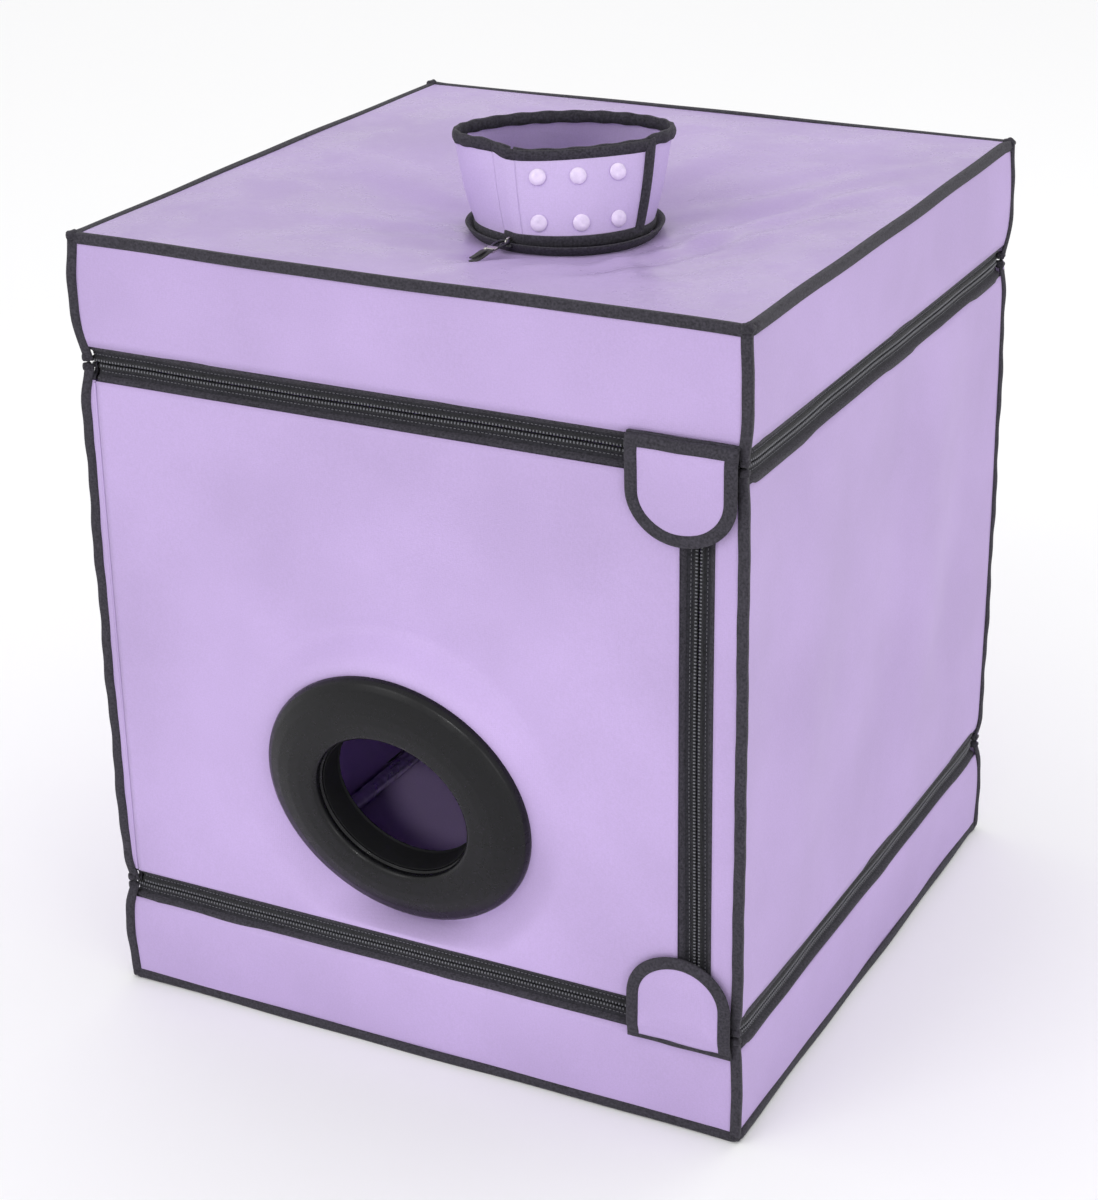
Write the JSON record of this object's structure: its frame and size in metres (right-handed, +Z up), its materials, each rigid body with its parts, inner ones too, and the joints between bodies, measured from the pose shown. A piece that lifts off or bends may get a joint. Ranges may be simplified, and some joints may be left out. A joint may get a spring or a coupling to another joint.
{
  "type": "pet drying box",
  "caption": "Square zip-together fabric box on a hidden tube frame, with a snap neck collar on the lid and a round hose port in the front door.",
  "frame": {"origin": "centre of the underside of the base", "axes": "+Z up through the lid; the door with the hose port faces -Y; +X is the side with the vertical door zip"},
  "size_m": [0.45, 0.4763, 0.5685],
  "materials": {
    "lilac_fabric": "soft coated woven polyester, matte",
    "black_binding": "ribbed woven edge tape",
    "zip_tape": "knitted zip tape",
    "zip_coil": "moulded zip coil",
    "zip_metal": "black painted die-cast zinc",
    "port_plastic": "satin moulded plastic",
    "port_rubber": "matte rubber",
    "snap_plastic": "glossy resin snap",
    "frame_tube": "drawn tube",
    "connector_plastic": "moulded elbow"
  },
  "bodies": {
    "base": {"base_panel": "lilac_fabric", "base_bands": "lilac_fabric", "base_edge_binding": "black_binding", "base_corner_bindings": "black_binding", "base_zip_tape": "zip_tape", "base_zip_coil": "zip_coil", "back_hinge_lower": "black_binding", "cover_root_lower": "black_binding"},
    "shell": {"frame_uprights": "frame_tube", "frame_rails_lower": "frame_tube", "frame_rails_upper": "frame_tube", "connectors_lower": "connector_plastic", "connectors_upper": "connector_plastic", "wall_right": "lilac_fabric", "wall_left": "lilac_fabric", "wall_back": "lilac_fabric", "front_strip": "lilac_fabric", "wall_corner_bindings": "black_binding", "wall_zip_tapes": "zip_tape", "wall_zip_coils": "zip_coil", "door_hinge": "black_binding", "back_hinge_upper": "black_binding"},
    "lid": {"lid_panel": "lilac_fabric", "lid_bands": "lilac_fabric", "lid_edge_binding": "black_binding", "lid_corner_bindings": "black_binding", "lid_zip_tape": "zip_tape", "lid_zip_coil": "zip_coil", "collar_base_ring": "black_binding", "cover_root_upper": "black_binding"},
    "door": {"door_panel": "lilac_fabric", "port_skirt": "lilac_fabric", "door_zip_tape": "zip_tape", "door_zip_coil": "zip_coil", "port_flange": "port_plastic", "port_clamp_ring": "port_plastic", "port_seal": "port_rubber"},
    "upper_slider": {"slider_upper": "zip_metal"},
    "upper_pull": {"pull_upper": "zip_metal"},
    "lower_slider": {"slider_lower": "zip_metal"},
    "lower_pull": {"pull_lower": "zip_metal"},
    "vertical_slider": {"slider_vertical": "zip_metal"},
    "vertical_pull": {"pull_vertical": "zip_metal"},
    "upper_cover": {"cover_upper": "lilac_fabric", "cover_upper_binding": "black_binding"},
    "lower_cover": {"cover_lower": "lilac_fabric", "cover_lower_binding": "black_binding"},
    "collar": {"collar_wall": "lilac_fabric", "collar_rim_elastic": "black_binding", "collar_foot_binding": "black_binding", "collar_flap_hinge": "black_binding", "snap_studs": "snap_plastic"},
    "flap": {"collar_flap": "lilac_fabric", "collar_flap_binding": "black_binding", "snap_caps": "snap_plastic", "snap_sockets": "snap_plastic"},
    "collar_zip_slider": {"collar_slider": "zip_metal"},
    "collar_zip_pull": {"collar_pull": "zip_metal"}
  },
  "joints": [
    {"name": "shell_tip", "type": "hinge", "parent": "base", "child": "shell", "pos_m": [0, 0.224, 0.074], "axis": [-1, 0, 0], "range_deg": [0, 90]},
    {"name": "lid_open", "type": "hinge", "parent": "shell", "child": "lid", "pos_m": [0, 0.224, 0.442], "axis": [-1, 0, 0], "range_deg": [0, 100]},
    {"name": "door_open", "type": "hinge", "parent": "shell", "child": "door", "pos_m": [-0.2153, -0.224, 0], "axis": [0, 0, -1], "range_deg": [0, 105], "deforming": ["cover_upper", "cover_upper_binding", "cover_lower", "cover_lower_binding"]},
    {"name": "upper_slider_run", "type": "slide", "parent": "door", "child": "upper_slider", "axis": [-1, 0, 0], "range_m": [0, 0.365]},
    {"name": "lower_slider_run", "type": "slide", "parent": "door", "child": "lower_slider", "axis": [-1, 0, 0], "range_m": [0, 0.365]},
    {"name": "vertical_slider_run", "type": "slide", "parent": "door", "child": "vertical_slider", "axis": [0, 0, -1], "range_m": [0, 0.3]},
    {"name": "upper_pull_lift", "type": "hinge", "parent": "upper_slider", "child": "upper_pull", "pos_m": [0.172, -0.227, 0.442], "axis": [-1, 0, 0], "range_deg": [0, 100]},
    {"name": "lower_pull_lift", "type": "hinge", "parent": "lower_slider", "child": "lower_pull", "pos_m": [0.172, -0.227, 0.074], "axis": [1, 0, 0], "range_deg": [0, 120]},
    {"name": "vertical_pull_lift", "type": "hinge", "parent": "vertical_slider", "child": "vertical_pull", "pos_m": [0.1945, -0.227, 0.419], "axis": [-1, 0, 0], "range_deg": [0, 100]},
    {"name": "upper_cover_lift", "type": "hinge", "parent": "lid", "child": "upper_cover", "pos_m": [0.1855, -0.23065, 0.4538], "axis": [-1, 0, 0], "range_deg": [0, 105]},
    {"name": "lower_cover_lift", "type": "hinge", "parent": "base", "child": "lower_cover", "pos_m": [0.1855, -0.23065, 0.0622], "axis": [1, 0, 0], "range_deg": [0, 105]},
    {"name": "collar_lift_off", "type": "slide", "parent": "lid", "child": "collar", "axis": [0, 0, 1], "range_m": [0, 0.08]},
    {"name": "flap_open", "type": "hinge", "parent": "collar", "child": "flap", "pos_m": [0.02026, -0.09973, 0.51586], "axis": [0.2104, -0.1901, -0.9589], "range_deg": [0, 110]},
    {"name": "collar_slider_run", "type": "hinge", "parent": "lid", "child": "collar_zip_slider", "pos_m": [0.021, -0.042, 0.508], "axis": [0, 0, -1], "range_deg": [0, 240]},
    {"name": "collar_pull_lift", "type": "hinge", "parent": "collar_zip_slider", "child": "collar_zip_pull", "pos_m": [0.01136, -0.10284, 0.5156], "axis": [-0.9877, 0.1564, 0], "range_deg": [0, 75]}
  ]
}
